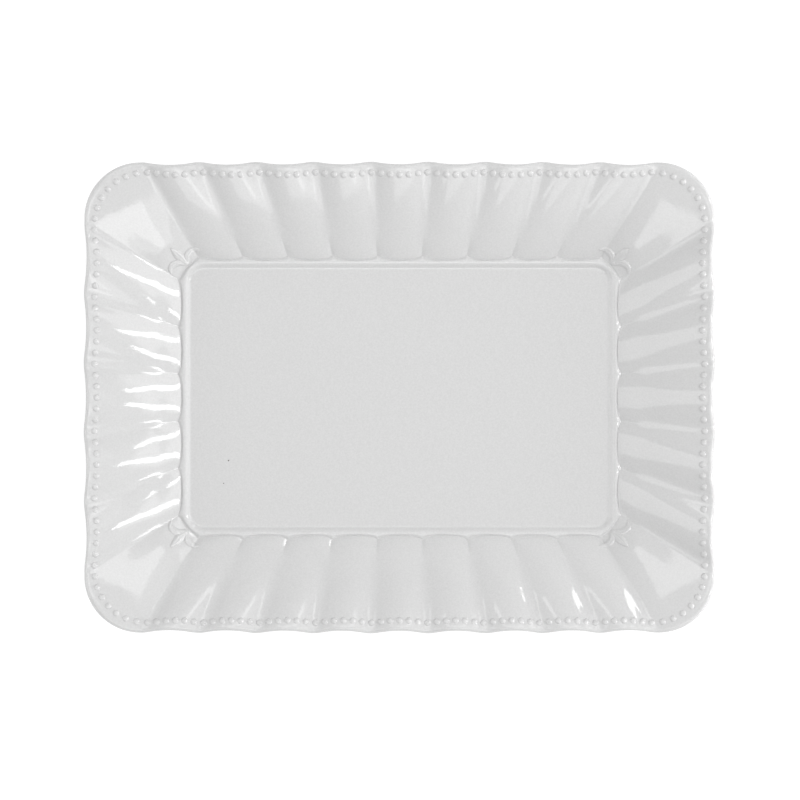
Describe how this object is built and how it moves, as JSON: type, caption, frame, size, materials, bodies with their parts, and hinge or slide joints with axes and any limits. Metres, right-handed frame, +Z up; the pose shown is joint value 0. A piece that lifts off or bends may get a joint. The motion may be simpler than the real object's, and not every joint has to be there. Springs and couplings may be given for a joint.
{
  "type": "serving platter",
  "caption": "Rectangular glazed serving platter with a sunk well, a rolled moulding, a pleated rim, a pearl border, corner leaf sprigs and a foot ring.",
  "frame": {"origin": "under the middle of the platter, on the surface that its foot ring stands on", "axes": "+X along the long side, +Y along the short side towards the back, +Z up out of the well"},
  "size_m": [0.406, 0.303, 0.0395],
  "materials": {
    "white_glaze": "glossy white glaze with a faint mottle and a few iron specks",
    "bare_foot": "bare fired clay on the bearing face, glazed on its sides"
  },
  "bodies": {
    "root": {"platter_body": "white_glaze", "foot_ring": "bare_foot", "pearl_border_back": "white_glaze", "pearl_border_front": "white_glaze", "pearl_border_left": "white_glaze", "pearl_border_right": "white_glaze", "leaf_sprig_back_right": "white_glaze", "leaf_sprig_back_left": "white_glaze", "leaf_sprig_front_right": "white_glaze", "leaf_sprig_front_left": "white_glaze"}
  },
  "joints": []
}
